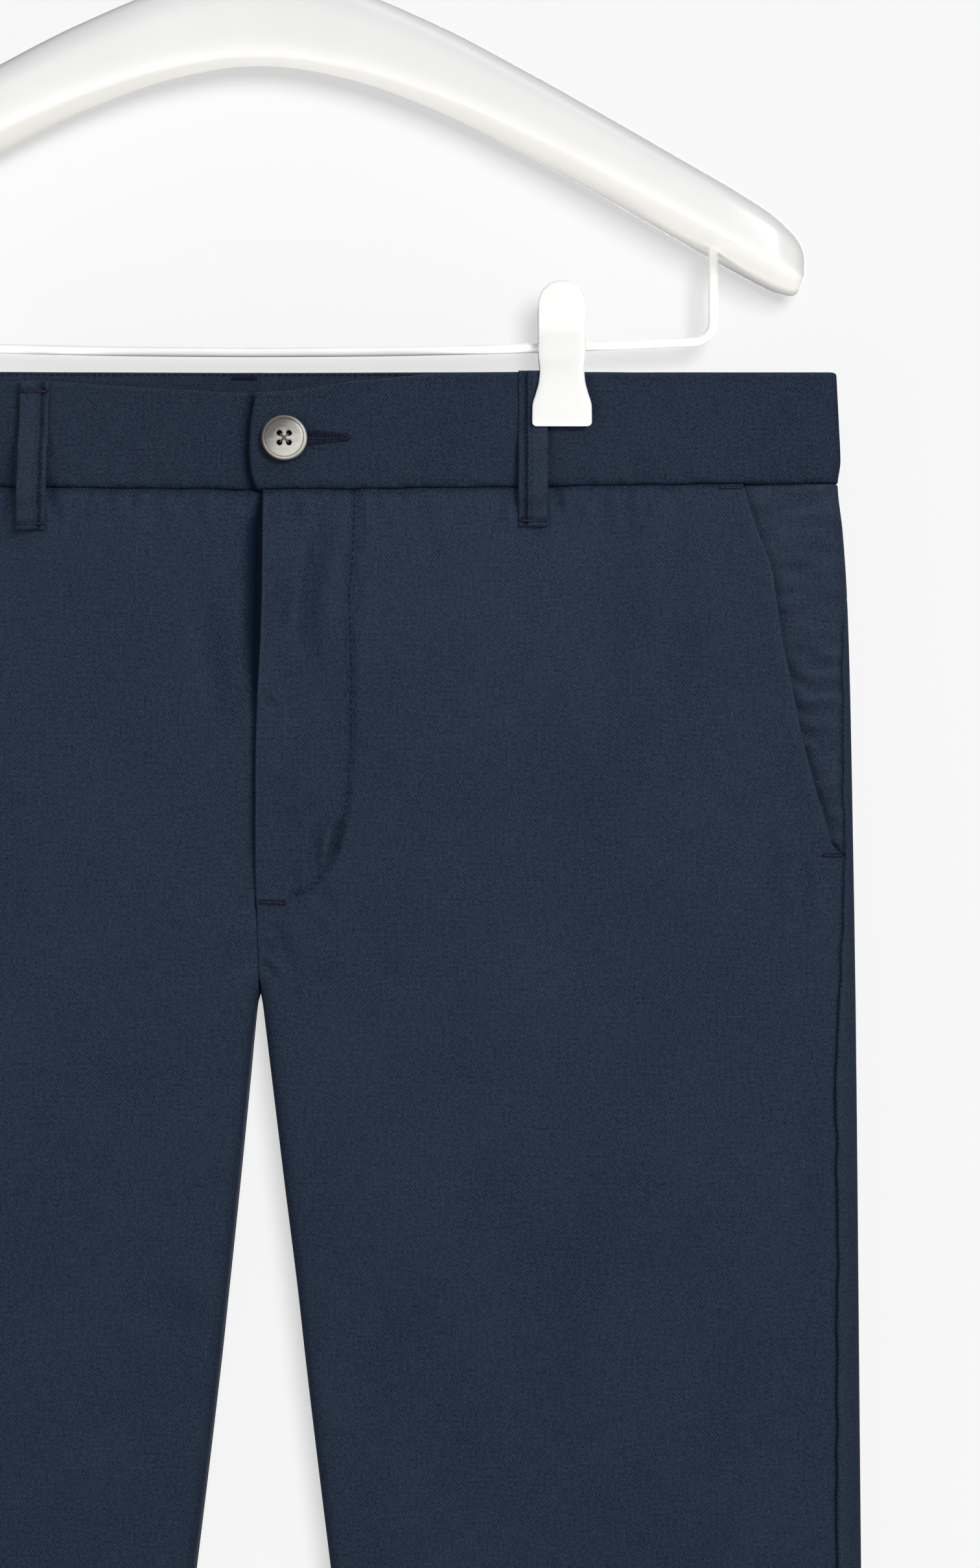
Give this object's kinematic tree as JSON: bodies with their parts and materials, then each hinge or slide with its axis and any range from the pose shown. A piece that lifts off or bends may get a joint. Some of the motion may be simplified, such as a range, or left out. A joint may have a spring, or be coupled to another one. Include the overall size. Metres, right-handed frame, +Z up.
{
  "type": "bermuda shorts on a clip hanger",
  "caption": "Bermuda shorts with fly, slant pockets, waistband and belt loops, hanging flat from the two clips of a moulded trouser hanger.",
  "frame": {"origin": "the point inside the top of the hanger's hook where it bears on a rail", "axes": "+Z up, the shorts' height; +X towards the wearer's left; -Y the way the front faces, so Y is the thin way through the flat garment"},
  "size_m": [0.4448, 0.0448, 0.7138],
  "materials": {
    "twill": "matte brushed twill",
    "band_twill": "matte brushed twill",
    "tape": "woven tape",
    "horn": "polished grey horn",
    "thread": "twisted thread",
    "hanger_plastic": "white moulded",
    "bar_wire": "white coated",
    "steel": "bright"
  },
  "bodies": {
    "root": {"front_left": "twill", "front_right": "twill", "back_left": "twill", "back_right": "twill", "pocket_facing_left": "twill", "pocket_facing_right": "twill", "fly_shield": "twill", "waistband_left": "band_twill", "waistband_right": "band_twill", "fly_zip": "tape", "belt_loop_front_left": "band_twill", "belt_loop_front_right": "band_twill", "belt_loop_back_left": "band_twill", "belt_loop_back_right": "band_twill", "belt_loop_center_back": "band_twill", "button": "horn", "button_thread": "thread", "hanger_arm": "hanger_plastic", "hanger_hook": "steel", "hanger_bar": "bar_wire", "clip_left_front": "hanger_plastic", "clip_left_back": "hanger_plastic", "clip_right_front": "hanger_plastic", "clip_right_back": "hanger_plastic", "clip_left_spring": "steel", "clip_right_spring": "steel"}
  },
  "joints": []
}
